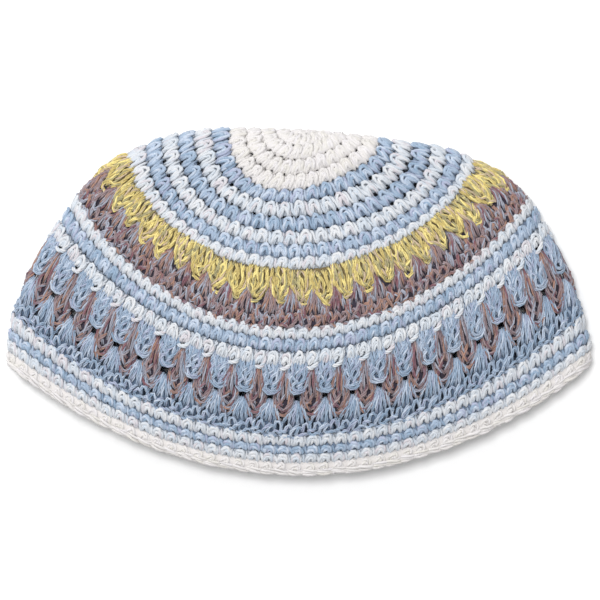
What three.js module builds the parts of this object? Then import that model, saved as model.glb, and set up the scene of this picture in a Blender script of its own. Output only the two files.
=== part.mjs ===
// A crocheted skullcap that lies folded flat, front layer on back layer, crown at the top edge.
// Each round of the crochet, or each band of clusters, is one closed ring of fabric.
// Millimetres. +X runs across the cap, +Y from the rim to the crown, +Z up from the surface it lies on.

import * as THREE from 'three';

// Sizes of the folded cap
const capWidth = 240;       // corner to corner across the rim
const capDepth = 142;       // top edge to the lowest point of the rim
const loft = 30;            // greatest distance between the middles of the two layers
const crownFold = 12;       // radius of the soft fold over the crown
const cornerFold = 5;       // radius of the tight fold at the rim's corners

// Sizes of the fabric
const wall = 4;             // thickness of the crocheted fabric
const seam = 0.3;           // open line between two neighbouring rounds
const clusterRise = 0.8;    // how far a cluster stands out of the front layer

// The openwork band
const clusterCount = 46;    // clusters in each of its three rounds
const whiteDip = 2.2;       // how far the white round dips between two clusters
const eyeletHeight = 3.7;   // height of the opening between two clusters
const upperReach = 5.2;     // how far the upper clusters reach down between the middle ones
const lowerReach = 4;       // how far the middle clusters reach down between the lower ones

// Facets
const innerColumns = 36;    // around a round of the crown
const outerColumns = 48;    // around a plain round of the sides
const foldCrowding = 2.5;   // how much closer the facets stand where the fabric folds
const arcSamples = 160;     // steps along one layer of a ring when its length is measured
const samplePull = 2.4;     // how strongly these steps crowd towards the folds
const foldEasing = 1.5;     // how fast the fold tightens from the crown to the corners
const puffEasing = 1.5;     // how fast the two layers part beside a fold
const roundNudge = 0.4;     // rounds to either side that give the fabric's slope
const shareNudge = 0.002;   // shares of a ring to either side that give it too
const frontMiddle = 0.25;   // the middle of the front layer, as a share of a ring

const white = new THREE.MeshStandardMaterial({ color: 0xe9ebee, roughness: 0.92, metalness: 0 });
const warmWhite = new THREE.MeshStandardMaterial({ color: 0xeee9e2, roughness: 0.92, metalness: 0 });
const lightBlue = new THREE.MeshStandardMaterial({ color: 0xa9bdd8, roughness: 0.92, metalness: 0 });
const paleYellow = new THREE.MeshStandardMaterial({ color: 0xdccb76, roughness: 0.92, metalness: 0 });
const russet = new THREE.MeshStandardMaterial({ color: 0x95705f, roughness: 0.92, metalness: 0 });

// The fabric's middle surface is half a wall inside the outline.
const fabricWidth = capWidth - wall;
const fabricDepth = capDepth - wall / 2;

// One row for each line between two rounds, counted outwards from the crown.
// left, right: where the line meets the fold, in fabric widths from the middle of the cap.
// leftDrop, rightDrop, middleDrop: how far under the top edge it lies there, in fabric depths.
// bow, lean: how full the front arc hangs between the folds, and how far it leans to one side.
// puff: how much of the loft the line takes at the middle of the front layer.
const ringColumns = [
  'round', 'left', 'right', 'leftDrop', 'rightDrop', 'middleDrop', 'bow', 'lean', 'puff',
];
const ringRows = [
  [0, 0.010, 0.010, 0.009, 0.009, 0.009, 1.80, 0, 0],
  [1, -0.016, 0.035, 0.008, 0.013, 0.019, 1.80, 0.002, 0.05],
  [2, -0.041, 0.060, 0.007, 0.017, 0.046, 1.50, 0.007, 0.12],
  [3, -0.067, 0.085, 0.006, 0.021, 0.085, 1.20, 0.014, 0.20],
  [4, -0.092, 0.110, 0.004, 0.025, 0.127, 1.00, 0.021, 0.32],
  [5, -0.118, 0.136, 0.003, 0.029, 0.169, 0.86, 0.028, 0.45],
  [6, -0.150, 0.161, 0.003, 0.037, 0.206, 0.86, 0.026, 0.58],
  [7, -0.180, 0.194, 0.009, 0.043, 0.250, 0.87, 0.025, 0.70],
  [8, -0.207, 0.225, 0.016, 0.048, 0.292, 0.88, 0.023, 0.80],
  [9, -0.235, 0.253, 0.029, 0.060, 0.331, 0.92, 0.022, 0.89],
  [10, -0.262, 0.279, 0.047, 0.073, 0.369, 1.05, 0.019, 0.96],
  [11, -0.298, 0.302, 0.072, 0.095, 0.401, 1.32, 0.016, 1],
  [13, -0.340, 0.355, 0.120, 0.138, 0.484, 1.58, 0.016, 1],
  [15.5, -0.377, 0.390, 0.188, 0.197, 0.571, 1.62, 0.014, 0.97],
  [16.5, -0.392, 0.403, 0.225, 0.227, 0.603, 1.68, 0.014, 0.94],
  [17.5, -0.408, 0.416, 0.262, 0.265, 0.639, 1.73, 0.014, 0.90],
  [18.5, -0.423, 0.428, 0.298, 0.300, 0.679, 1.79, 0.015, 0.86],
  [24, -0.490, 0.486, 0.531, 0.536, 0.882, 1.94, 0.003, 0.50],
  [25, -0.495, 0.492, 0.577, 0.583, 0.915, 1.95, 0.002, 0.43],
  [26, -0.497, 0.498, 0.607, 0.612, 0.937, 1.95, 0.001, 0.37],
  [27, -0.499, 0.499, 0.641, 0.639, 0.965, 1.95, 0, 0.31],
  [28.3, -0.500, 0.500, 0.687, 0.683, 1, 1.92, -0.004, 0.25],
];
const rings = ringRows.map((row) => Object.fromEntries(row.map((value, i) => [ringColumns[i], value])));
const rimRound = rings[rings.length - 1].round;

// The line between two rounds at any count of rounds, between the rows of the table.
function ringLine(round) {
  const held = Math.min(Math.max(round, 0), rimRound);
  const after = Math.max(1, rings.findIndex((ring) => ring.round >= held));
  const [a, b] = [rings[after - 1], rings[after]];
  const share = (held - a.round) / (b.round - a.round);
  return Object.fromEntries(ringColumns.map((name) => [name, THREE.MathUtils.lerp(a[name], b[name], share)]));
}

// The fold runs over the top edge from the left corner through the crown to the right corner.
// Points here are [across, drop], with the drop measured down from the fabric's top edge.
const foldPath = [
  ...rings.toReversed().map((ring) => [ring.left * fabricWidth, ring.leftDrop * fabricDepth]),
  ...rings.slice(1).map((ring) => [ring.right * fabricWidth, ring.rightDrop * fabricDepth]),
];

function distanceToFold(across, drop) {
  let nearest = Infinity;
  for (let i = 1; i < foldPath.length; i += 1) {
    const [ax, ay] = foldPath[i - 1];
    const [dx, dy] = [foldPath[i][0] - ax, foldPath[i][1] - ay];
    const along = ((across - ax) * dx + (drop - ay) * dy) / (dx * dx + dy * dy);
    const share = THREE.MathUtils.clamp(along, 0, 1);
    nearest = Math.min(nearest, Math.hypot(across - ax - share * dx, drop - ay - share * dy));
  }
  return nearest;
}

// Half a ring seen from above: the two layers lie over each other, and roll into one another at the fold.
function ringSample(line, angle, onFront) {
  const towardsRight = (1 + Math.cos(angle)) / 2;
  const hang = Math.max(Math.sin(angle), 0);
  const across = THREE.MathUtils.lerp(line.left, line.right, towardsRight) * fabricWidth;
  const endDrop = THREE.MathUtils.lerp(line.leftDrop, line.rightDrop, towardsRight);
  const sag = line.middleDrop - (line.leftDrop + line.rightDrop) / 2;
  const drop = (endDrop + sag * hang ** line.bow - line.lean * Math.sin(2 * angle)) * fabricDepth;

  const foldRadius = cornerFold + (crownFold - cornerFold) * (1 - line.round / rimRound) ** foldEasing;
  const spread = 2 * foldRadius + (loft - 2 * foldRadius) * line.puff * hang ** puffEasing;
  const inFold = Math.min(distanceToFold(across, drop) / foldRadius, 1);
  const roll = Math.sqrt(inFold * (2 - inFold));
  const height = wall / 2 + (spread / 2) * (1 + (onFront ? roll : -roll));
  return { point: new THREE.Vector3(across, fabricDepth - drop, height), inFold };
}

// A whole ring, from the right fold over the front layer to the left fold and back underneath.
// even and crowded hold the way travelled at each point: by true length, and with the folds stretched.
const ringStore = new Map();
function ringAt(round) {
  const key = round.toFixed(6);
  if (ringStore.has(key)) return ringStore.get(key);
  const line = ringLine(round);
  const angles = Array.from({ length: arcSamples + 1 }, (_, i) => {
    const share = i / arcSamples;
    const pulled = share < 0.5
      ? (2 * share) ** samplePull / 2
      : 1 - (2 - 2 * share) ** samplePull / 2;
    return Math.PI * pulled;
  });
  const front = angles.map((angle) => ringSample(line, angle, true));
  const back = angles.toReversed().slice(1).map((angle) => ringSample(line, angle, false));
  const samples = [...front, ...back];
  const even = [0];
  const crowded = [0];
  for (let i = 1; i < samples.length; i += 1) {
    const step = samples[i].point.distanceTo(samples[i - 1].point);
    const bending = 1 - (samples[i].inFold + samples[i - 1].inFold) / 2;
    even.push(even[i - 1] + step);
    crowded.push(crowded[i - 1] + step * (1 + foldCrowding * bending));
  }
  const ring = { points: samples.map((sample) => sample.point), even, crowded };
  ringStore.set(key, ring);
  return ring;
}

// The middle of the fabric at a share of the way around a ring.
function middlePoint(round, share, measure) {
  const ring = ringAt(round);
  const way = ring[measure];
  const target = (share - Math.floor(share)) * way[way.length - 1];
  let after = 1;
  while (after < way.length - 1 && way[after] < target) after += 1;
  const part = (target - way[after - 1]) / Math.max(way[after] - way[after - 1], 1e-9);
  return ring.points[after - 1].clone().lerp(ring.points[after], part);
}

// The direction out of the cap, square to the fabric.
function outward(round, share, measure) {
  const outer = middlePoint(Math.min(round + roundNudge, rimRound), share, measure);
  const inner = middlePoint(Math.max(round - roundNudge, roundNudge), share, measure);
  const onward = middlePoint(round, share + shareNudge, measure);
  const behind = middlePoint(round, share - shareNudge, measure);
  return onward.sub(behind).cross(inner.sub(outer)).normalize().negate();
}

// A length in millimetres down the middle of the front layer, as a count of rounds.
function inRounds(length, round) {
  const from = round - roundNudge;
  const to = Math.min(round + roundNudge, rimRound);
  const above = middlePoint(from, frontMiddle, 'even');
  const below = middlePoint(to, frontMiddle, 'even');
  return (length * (to - from)) / above.distanceTo(below);
}

// One corner of the fabric: offset is measured out of the middle surface.
function corner(round, share, measure, offset, rise = 0) {
  const normal = outward(round, share, measure);
  const lifted = offset + rise * Math.max(normal.z, 0);
  const point = middlePoint(round, share, measure).addScaledVector(normal, lifted);
  point.z = Math.max(point.z, 0);
  return point;
}

function solidFrom(points, triangles) {
  const geometry = new THREE.BufferGeometry();
  geometry.setAttribute('position', new THREE.Float32BufferAttribute(points.flatMap((p) => p.toArray()), 3));
  geometry.setIndex(triangles);
  geometry.computeVertexNormals();
  return geometry;
}

// A ring of fabric between two lines. inner and outer give the lines at each column, in rounds.
function fabricRing({ name, material, columns, inner, outer, measure = 'crowded', rise = () => 0 }) {
  const points = [];
  const triangles = [];
  const sides = 4;
  for (let i = 0; i < columns; i += 1) {
    const share = i / columns;
    points.push(
      corner(inner(i), share, measure, wall / 2, rise(i)),
      corner(outer(i), share, measure, wall / 2, rise(i)),
      corner(outer(i), share, measure, -wall / 2),
      corner(inner(i), share, measure, -wall / 2),
    );
    const here = i * sides;
    const next = ((i + 1) % columns) * sides;
    for (let j = 0; j < sides - 1; j += 1) {
      const k = j + 1;
      triangles.push(here + j, next + k, here + k, here + j, next + j, next + k);
    }
    // The inner edge is split along the other diagonal, so that it matches its neighbour's outer edge.
    const last = sides - 1;
    triangles.push(here + last, next + last, here, here, next + last, next);
  }
  const mesh = new THREE.Mesh(solidFrom(points, triangles), material);
  mesh.name = name;
  return mesh;
}

// The crown: a disc of rounds worked out from one point on the fold.
function crownDisc({ name, material, columns, rounds, outer }) {
  const points = [];
  const triangles = [];
  const centre = middlePoint(0, 0, 'crowded');
  const out = new THREE.Vector3(0, wall / 2, 0);
  points.push(centre.clone().add(out), centre.clone().sub(out));
  const levels = [...rounds, outer];
  const vertex = (level, column, side) => 2 + (level * columns + (column % columns)) * 2 + side;
  for (const round of levels) {
    for (let i = 0; i < columns; i += 1) {
      points.push(
        corner(round, i / columns, 'crowded', wall / 2),
        corner(round, i / columns, 'crowded', -wall / 2),
      );
    }
  }
  for (let i = 0; i < columns; i += 1) {
    triangles.push(0, vertex(0, i + 1, 0), vertex(0, i, 0));
    triangles.push(1, vertex(0, i, 1), vertex(0, i + 1, 1));
    for (let level = 1; level < levels.length; level += 1) {
      const [a, b] = [vertex(level - 1, i, 0), vertex(level - 1, i + 1, 0)];
      const [c, d] = [vertex(level, i, 0), vertex(level, i + 1, 0)];
      triangles.push(a, d, c, a, b, d);
      triangles.push(a + 1, c + 1, d + 1, a + 1, d + 1, b + 1);
    }
    const last = levels.length - 1;
    const [c, d] = [vertex(last, i, 0), vertex(last, i + 1, 0)];
    triangles.push(c, d + 1, c + 1, c, d, d + 1);
  }
  const mesh = new THREE.Mesh(solidFrom(points, triangles), material);
  mesh.name = name;
  return mesh;
}

// A plain round keeps half a seam from the line on either side of it.
function plainRound({ from, to, ...options }) {
  const inner = from + inRounds(seam / 2, from);
  const outer = to < rimRound ? to - inRounds(seam / 2, to) : rimRound;
  return fabricRing({ ...options, inner: () => inner, outer: () => outer });
}

// The bands from the crown to the rim, and how many rounds of the table each one takes.
// The three cluster rounds are counted at the middle of an upper cluster.
const bands = [
  { name: 'crown_disc', material: warmWhite, rounds: 5, columns: innerColumns },
  { name: 'blue_stripe_1', material: lightBlue, rounds: 1, columns: innerColumns },
  { name: 'white_stripe_1', material: white, rounds: 1, columns: innerColumns },
  { name: 'blue_stripe_2', material: lightBlue, rounds: 1, columns: innerColumns },
  { name: 'white_stripe_2', material: white, rounds: 1, columns: innerColumns },
  { name: 'blue_stripe_3', material: lightBlue, rounds: 1, columns: innerColumns },
  { name: 'white_stripe_3', material: white, rounds: 1, columns: innerColumns },
  { name: 'yellow_cluster_round', material: paleYellow, rounds: 2, columns: outerColumns },
  { name: 'russet_fan_round', material: russet, rounds: 2.5, columns: outerColumns },
  { name: 'white_side_round', material: white, rounds: 1, columns: outerColumns },
  { name: 'blue_side_round', material: lightBlue, rounds: 1, columns: outerColumns },
  { name: 'white_dip_round', material: white, rounds: 1 },
  { name: 'blue_cluster_round_upper', material: lightBlue, rounds: 2.7 },
  { name: 'russet_cluster_round', material: russet, rounds: 1.2 },
  { name: 'blue_cluster_round_lower', material: lightBlue, rounds: 1.6 },
  { name: 'white_rim_round_upper', material: white, rounds: 1, columns: outerColumns },
  { name: 'blue_rim_round', material: lightBlue, rounds: 1, columns: outerColumns },
  { name: 'white_rim_round_lower', material: white, rounds: 1, columns: outerColumns },
  { name: 'rim_border', material: warmWhite, rounds: 1.3, columns: outerColumns },
];
const allRounds = bands.reduce((sum, band) => sum + band.rounds, 0);
let reached = 0;
for (const band of bands) {
  band.from = (reached / allRounds) * rimRound;
  reached += band.rounds;
  band.to = (reached / allRounds) * rimRound;
}

// The openwork: three rounds of clusters that reach between one another like scales,
// under a white round that dips between the upper ones.
const columnsPerCluster = 4;
function openworkRounds([whiteRound, upperClusters, middleClusters, lowerClusters]) {
  const top = whiteRound.to;
  const halfSeam = inRounds(seam / 2, top);
  const eyelet = inRounds(eyeletHeight, top);
  const dip = inRounds(whiteDip, top);
  const upperWave = inRounds(upperReach, upperClusters.to);
  const middleWave = inRounds(lowerReach, middleClusters.to);
  const dipLine = (between) => top + dip * between;
  const upperLine = (between) => upperClusters.to - upperWave * between;
  const middleLine = (between) => middleClusters.to + middleWave * between;
  // 0 at the middle of an upper or lower cluster, 1 halfway between two of them, as on the right fold
  const between = (i) => Math.abs((2 * (i % columnsPerCluster)) / columnsPerCluster - 1);
  const eyeletAt = (here) => (here ? eyelet : 0);
  const ring = (band, lines) => fabricRing({
    ...band,
    columns: columnsPerCluster * clusterCount,
    measure: 'even',
    ...lines,
  });
  return [
    ring(whiteRound, {
      inner: () => whiteRound.from + halfSeam,
      outer: (i) => dipLine(between(i)) - halfSeam,
    }),
    ring(upperClusters, {
      inner: (i) => dipLine(between(i)) + halfSeam + eyeletAt(between(i) === 1),
      outer: (i) => upperLine(between(i)) - halfSeam,
      rise: (i) => clusterRise * (1 - between(i)),
    }),
    ring(middleClusters, {
      inner: (i) => upperLine(between(i)) + halfSeam + eyeletAt(between(i) === 0),
      outer: (i) => middleLine(between(i)) - halfSeam,
      rise: (i) => clusterRise * between(i),
    }),
    ring(lowerClusters, {
      inner: (i) => middleLine(between(i)) + halfSeam,
      outer: () => lowerClusters.to - halfSeam,
      rise: (i) => clusterRise * (1 - between(i)),
    }),
  ];
}

const disc = bands[0];
const openwork = bands.filter((band) => !band.columns);
const plain = bands.filter((band) => band.columns && band !== disc);
const cap = new THREE.Group();
cap.add(
  crownDisc({ ...disc, rounds: [1, 3], outer: disc.to - inRounds(seam / 2, disc.to) }),
  ...plain.map((band) => plainRound(band)),
  ...openworkRounds(openwork),
);

// The origin is under the middle of the cap, on the surface.
const middle = new THREE.Box3().setFromObject(cap).getCenter(new THREE.Vector3());
cap.position.set(-middle.x, -middle.y, 0);

export default cap;
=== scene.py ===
import bmesh
import bpy
import numpy as np
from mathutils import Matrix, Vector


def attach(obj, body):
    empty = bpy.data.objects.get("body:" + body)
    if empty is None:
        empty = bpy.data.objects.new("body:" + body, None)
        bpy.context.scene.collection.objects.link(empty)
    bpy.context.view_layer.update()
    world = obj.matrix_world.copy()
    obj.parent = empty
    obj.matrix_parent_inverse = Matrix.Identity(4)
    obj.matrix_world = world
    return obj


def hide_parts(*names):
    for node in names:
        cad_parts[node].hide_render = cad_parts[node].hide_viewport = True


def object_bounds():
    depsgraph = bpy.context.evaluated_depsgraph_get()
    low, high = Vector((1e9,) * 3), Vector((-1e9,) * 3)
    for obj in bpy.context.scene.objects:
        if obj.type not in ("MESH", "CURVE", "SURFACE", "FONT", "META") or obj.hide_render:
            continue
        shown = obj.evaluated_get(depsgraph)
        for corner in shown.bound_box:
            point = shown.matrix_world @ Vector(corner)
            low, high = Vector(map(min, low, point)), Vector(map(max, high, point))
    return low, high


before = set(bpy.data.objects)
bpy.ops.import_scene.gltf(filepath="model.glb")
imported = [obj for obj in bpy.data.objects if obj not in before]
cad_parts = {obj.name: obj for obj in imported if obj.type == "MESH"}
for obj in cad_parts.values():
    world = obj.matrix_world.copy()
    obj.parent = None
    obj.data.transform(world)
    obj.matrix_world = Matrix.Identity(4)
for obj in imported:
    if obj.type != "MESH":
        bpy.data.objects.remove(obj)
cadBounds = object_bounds()
millimetre = 0.001
cadTopEdge = cadBounds[1][1] / millimetre
random = np.random.default_rng(46)
print("frame loaded")


# The folded cap as the frame has it, in millimetres, with its easings as powers.
capForm = {
    "width": 240.0,       # corner to corner across the rim
    "depth": 142.0,       # top edge to the lowest point of the rim
    "loft": 30.0,         # between the middles of the two layers
    "crownFold": 12.0,    # radius of the fold over the crown
    "cornerFold": 5.0,    # radius of the fold at the corners
    "wall": 4.0,          # thickness of the fabric
    "foldEasing": 1.5,
    "puffEasing": 1.5,
}
fabricWidth = capForm["width"] - capForm["wall"]
fabricDepth = capForm["depth"] - capForm["wall"] / 2

# One row for each line between two rounds, from the crown to the rim, in shares of the fabric.
# The frame has no row at 21.3: there the openwork swells a little past its walls, as in the photo.
ringColumns = ("round", "left", "right", "leftDrop", "rightDrop", "middleDrop", "bow", "lean", "puff")
ringTable = np.array([
    (0, 0.010, 0.010, 0.009, 0.009, 0.009, 1.80, 0, 0),
    (1, -0.016, 0.035, 0.008, 0.013, 0.019, 1.80, 0.002, 0.05),
    (2, -0.041, 0.060, 0.007, 0.017, 0.046, 1.50, 0.007, 0.12),
    (3, -0.067, 0.085, 0.006, 0.021, 0.085, 1.20, 0.014, 0.20),
    (4, -0.092, 0.110, 0.004, 0.025, 0.127, 1.00, 0.021, 0.32),
    (5, -0.118, 0.136, 0.003, 0.029, 0.169, 0.86, 0.028, 0.45),
    (6, -0.150, 0.161, 0.003, 0.037, 0.206, 0.86, 0.026, 0.58),
    (7, -0.180, 0.194, 0.009, 0.043, 0.250, 0.87, 0.025, 0.70),
    (8, -0.207, 0.225, 0.016, 0.048, 0.292, 0.88, 0.023, 0.80),
    (9, -0.235, 0.253, 0.029, 0.060, 0.331, 0.92, 0.022, 0.89),
    (10, -0.262, 0.279, 0.047, 0.073, 0.369, 1.05, 0.019, 0.96),
    (11, -0.298, 0.302, 0.072, 0.095, 0.401, 1.32, 0.016, 1),
    (13, -0.340, 0.355, 0.120, 0.138, 0.484, 1.58, 0.016, 1),
    (15.5, -0.377, 0.390, 0.188, 0.197, 0.571, 1.62, 0.014, 0.97),
    (16.5, -0.392, 0.403, 0.225, 0.227, 0.603, 1.68, 0.014, 0.94),
    (17.5, -0.408, 0.416, 0.262, 0.265, 0.639, 1.73, 0.014, 0.90),
    (18.5, -0.423, 0.428, 0.298, 0.300, 0.679, 1.79, 0.015, 0.86),
    (21.3, -0.463, 0.464, 0.417, 0.420, 0.782, 1.87, 0.009, 0.72),
    (24, -0.490, 0.486, 0.531, 0.536, 0.882, 1.94, 0.003, 0.50),
    (25, -0.495, 0.492, 0.577, 0.583, 0.915, 1.95, 0.002, 0.43),
    (26, -0.497, 0.498, 0.607, 0.612, 0.937, 1.95, 0.001, 0.37),
    (27, -0.499, 0.499, 0.641, 0.639, 0.965, 1.95, 0, 0.31),
    (28.3, -0.500, 0.500, 0.687, 0.683, 1, 1.92, -0.004, 0.25),
])
rimRound = ringTable[-1, 0]
topDrop = ringTable[:, 3].min()
depthShift = cadTopEdge - (fabricDepth * (1 - topDrop) + capForm["wall"] / 2)

surfaceGrid = {
    "rowsPerRound": 10,
    "columns": 720,
    "arcSamples": 200,
    "samplePull": 2.4,    # how strongly the samples crowd towards the folds
    "centreRows": 3,      # rows around the crown's centre that all face away over the fold
}


def lineAt(rounds):
    return {name: np.interp(rounds, ringTable[:, 0], ringTable[:, i])[:, None]
            for i, name in enumerate(ringColumns)}


def distanceToFold(across, drop):
    left = ringTable[::-1, [1, 3]]
    right = ringTable[1:, [2, 4]]
    path = np.vstack([left, right]) * (fabricWidth, fabricDepth)
    nearest = np.full(across.shape, np.inf)
    for start, end in zip(path[:-1], path[1:]):
        dx, dy = end - start
        along = ((across - start[0]) * dx + (drop - start[1]) * dy) / (dx * dx + dy * dy)
        along = along.clip(0, 1)
        away = np.hypot(across - start[0] - along * dx, drop - start[1] - along * dy)
        nearest = np.minimum(nearest, away)
    return nearest


def unit(vectors):
    return vectors / np.maximum(np.linalg.norm(vectors, axis=-1, keepdims=True), 1e-9)


def makeSurface():
    rows = int(round(rimRound * surfaceGrid["rowsPerRound"])) + 1
    rounds = np.linspace(0, rimRound, rows)
    line = lineAt(rounds)
    way = np.linspace(0, 1, surfaceGrid["arcSamples"] + 1)
    pull = surfaceGrid["samplePull"]
    angles = np.pi * np.where(way < 0.5, (2 * way) ** pull / 2, 1 - (2 - 2 * way) ** pull / 2)
    toRight = (1 + np.cos(angles)) / 2
    hang = np.sin(angles).clip(0)
    across = (line["left"] + (line["right"] - line["left"]) * toRight) * fabricWidth
    ends = line["leftDrop"] + (line["rightDrop"] - line["leftDrop"]) * toRight
    sag = line["middleDrop"] - (line["leftDrop"] + line["rightDrop"]) / 2
    drop = (ends + sag * hang ** line["bow"] - line["lean"] * np.sin(2 * angles)) * fabricDepth
    easing = (1 - line["round"] / rimRound) ** capForm["foldEasing"]
    foldRadius = capForm["cornerFold"] + (capForm["crownFold"] - capForm["cornerFold"]) * easing
    puff = line["puff"] * hang ** capForm["puffEasing"]
    spread = 2 * foldRadius + (capForm["loft"] - 2 * foldRadius) * puff
    inFold = np.minimum(distanceToFold(across, drop) / foldRadius, 1)
    roll = np.sqrt(inFold * (2 - inFold))
    middle = capForm["wall"] / 2 + spread / 2
    depth = fabricDepth - drop + depthShift
    front = np.stack([across, depth, middle + spread / 2 * roll], axis=-1)
    back = np.stack([across, depth, middle - spread / 2 * roll], axis=-1)[:, ::-1]
    ring = np.concatenate([front, back[:, 1:]], axis=1)

    # every ring is walked at an even pace, from the right fold over the front and back underneath
    columns = surfaceGrid["columns"]
    points = np.zeros((rows, columns + 1, 3))
    for row in range(rows):
        steps = np.linalg.norm(np.diff(ring[row], axis=0), axis=1)
        walked = np.concatenate([[0], np.cumsum(steps)])
        paces = np.linspace(0, walked[-1], columns + 1)
        for axis in range(3):
            points[row, :, axis] = np.interp(paces, walked, ring[row, :, axis])
    points = points[:, :-1]
    around = np.roll(points, -1, axis=1) - np.roll(points, 1, axis=1)
    outwards = unit(np.cross(around, np.gradient(points, axis=0)))
    outwards[:surfaceGrid["centreRows"]] = (0, 1, 0)
    return {"points": points, "outwards": outwards, "rounds": rounds}


capSurface = makeSurface()
print("surface laid out")


def onCap(share, rounds, lift):
    # a place on the fabric and the direction out of it; lift is in millimetres
    columns = surfaceGrid["columns"]
    column = (share % 1) * columns
    firstColumn = np.floor(column).astype(int)
    columnPart = (column - firstColumn)[..., None]
    firstColumn = firstColumn % columns
    nextColumn = (firstColumn + 1) % columns
    lastRow = len(capSurface["rounds"]) - 1
    row = rounds * surfaceGrid["rowsPerRound"]
    firstRow = np.clip(np.floor(row), 0, lastRow - 1).astype(int)
    rowPart = (row - firstRow)[..., None]

    def blend(grid):
        def along(row):
            return grid[row, firstColumn] * (1 - columnPart) + grid[row, nextColumn] * columnPart
        return along(firstRow) * (1 - rowPart) + along(firstRow + 1) * rowPart

    outwards = unit(blend(capSurface["outwards"]))
    return blend(capSurface["points"]) + outwards * lift[..., None], outwards


def smoothBasis(controls, samples):
    # weights that run a smooth curve through the control points
    basis = np.zeros((samples, controls))
    for sample in range(samples):
        where = sample / (samples - 1) * (controls - 1)
        before = min(int(where), controls - 2)
        t = where - before
        weights = (
            (-t + 2 * t * t - t ** 3) / 2,
            (2 - 5 * t * t + 3 * t ** 3) / 2,
            (t + 4 * t * t - 3 * t ** 3) / 2,
            (-t * t + t ** 3) / 2,
        )
        for offset, weight in zip((-1, 0, 1, 2), weights):
            control = before + offset
            if control < 0:
                basis[sample, 0] += 2 * weight
                basis[sample, 1] -= weight
            elif control >= controls:
                basis[sample, -1] += 2 * weight
                basis[sample, -2] -= weight
            else:
                basis[sample, control] += weight
    return basis


# How every strand is drawn, in millimetres unless it says otherwise.
yarnShape = {
    "floorGap": 0.05,             # no strand reaches lower than this
    "openLift": 0.7,              # a strand that stands this far out of the fabric gets no painted shade
    "paintedShadeDepth": 2.2,             # and one this much deeper is drawn fully in the painted-shade colour
    "flattening": 0.8,            # height of a twisted strand as a share of its width
    "taper": 0.35,                # how much thinner a ply ends, as a share
    "taperPower": 6,
    "thickness": (0.88, 1.12),    # random thickness of a ply, as a share
    "shadeLeafEdge": 0.1,              # least half width of a shade leaf
    "plainTone": 0.5,             # tone and sides of the leaves and cores behind the strands
    "plainSides": 6,
    "sway": (1, 1.2, 4),          # jitter of a stitch along the ring, across it and outwards, as shares
    "wobble": (1, 1, 4),          # the same for one point of a strand
}

# The usual strands: ply is the radius of one, spread its distance from the middle, and the last value
# how much more painted shade each further ply gets.
longStrand = {
    "plies": 2,
    "ply": 0.46,
    "spread": 0.40,
    "turns": 1.0,
    "samples": 6,
    "sides": 4,
    "paintedPlyShade": 0,
}
fineStrand = {**longStrand, "plies": 3, "ply": 0.38, "spread": 0.46, "paintedPlyShade": 0.17}
bandStrand = {**fineStrand, "ply": 0.40, "paintedPlyShade": 0.08}


def newYarn():
    return {"points": [], "faces": [], "caps": [], "map": [], "tone": [], "paintedShade": [], "count": 0}


def sweep(yarn, centre, outwards, halfWidth, halfHeight, tone, paintedShade, sides, closed=False):
    # tubes along many paths at once: centre is (paths, samples, 3)
    paths, samples = centre.shape[:2]
    if closed:
        along = unit(np.roll(centre, -1, axis=1) - np.roll(centre, 1, axis=1))
    else:
        along = unit(np.gradient(centre, axis=1))
    up = unit(outwards - along * np.sum(outwards * along, axis=-1, keepdims=True))
    beside = np.cross(along, up)
    turn = np.arange(sides) / sides * 2 * np.pi
    ring = (up[:, :, None] * (np.cos(turn)[:, None] * halfHeight[..., None, None])
            + beside[:, :, None] * (np.sin(turn)[:, None] * halfWidth[..., None, None]))
    points = centre[:, :, None] + ring
    points[..., 2] = np.maximum(points[..., 2], yarnShape["floorGap"])

    index = np.arange(paths * samples * sides).reshape(paths, samples, sides) + yarn["count"]
    here = index if closed else index[:, :-1]
    after = np.roll(index, -1, axis=1) if closed else index[:, 1:]
    faces = np.stack([here, np.roll(here, -1, axis=2), np.roll(after, -1, axis=2), after], axis=-1)
    steps = np.linalg.norm(np.diff(centre, axis=1), axis=-1)
    walked = np.concatenate([np.zeros((paths, 1)), np.cumsum(steps, axis=1)], axis=1)
    if closed:
        walked = np.concatenate([walked, walked[:, -1:] + steps[:, -1:]], axis=1)
    start = np.broadcast_to(walked[:, :-1, None], here.shape)
    end = np.broadcast_to(walked[:, 1:, None], here.shape)
    low = np.broadcast_to(np.arange(sides) / sides, here.shape)
    high = low + 1 / sides
    corners = np.stack([
        np.stack([start, low], axis=-1), np.stack([start, high], axis=-1),
        np.stack([end, high], axis=-1), np.stack([end, low], axis=-1),
    ], axis=-2)
    yarn["points"].append(points.reshape(-1, 3))
    yarn["faces"].append(faces.reshape(-1, 4))
    yarn["map"].append(corners.reshape(-1, 2))
    if not closed:
        yarn["caps"].append((sides, index[:, 0, ::-1].reshape(-1, sides)))
        yarn["caps"].append((sides, index[:, -1].reshape(-1, sides)))
    yarn["tone"].append(np.broadcast_to(tone[..., None], (paths, samples, sides)).ravel())
    yarn["paintedShade"].append(np.broadcast_to(paintedShade[..., None], (paths, samples, sides)).ravel())
    yarn["count"] += paths * samples * sides


# Painted shade: the deeper a strand lies under the face of the fabric, the more of its yarn's
# painted-shade colour it gets.
def paintedShadeOf(lift):
    return np.clip((yarnShape["openLift"] - lift) / yarnShape["paintedShadeDepth"], 0, 1)


def layShadeLeaf(yarn, centre, outwards, widths, thick):
    # the flat sheet behind the strands of a cluster, drawn wholly in painted shade so the gaps read
    # dark
    stitches, samples = centre.shape[:2]
    shadeLeaf = np.maximum(smoothBasis(len(widths), samples) @ np.array(widths), yarnShape["shadeLeafEdge"])
    full = np.ones((stitches, samples))
    # the whole leaf is drawn in the painted-shade colour
    sweep(yarn, centre, outwards, full * shadeLeaf, full * thick, full * yarnShape["plainTone"], full,
          yarnShape["plainSides"])


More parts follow.
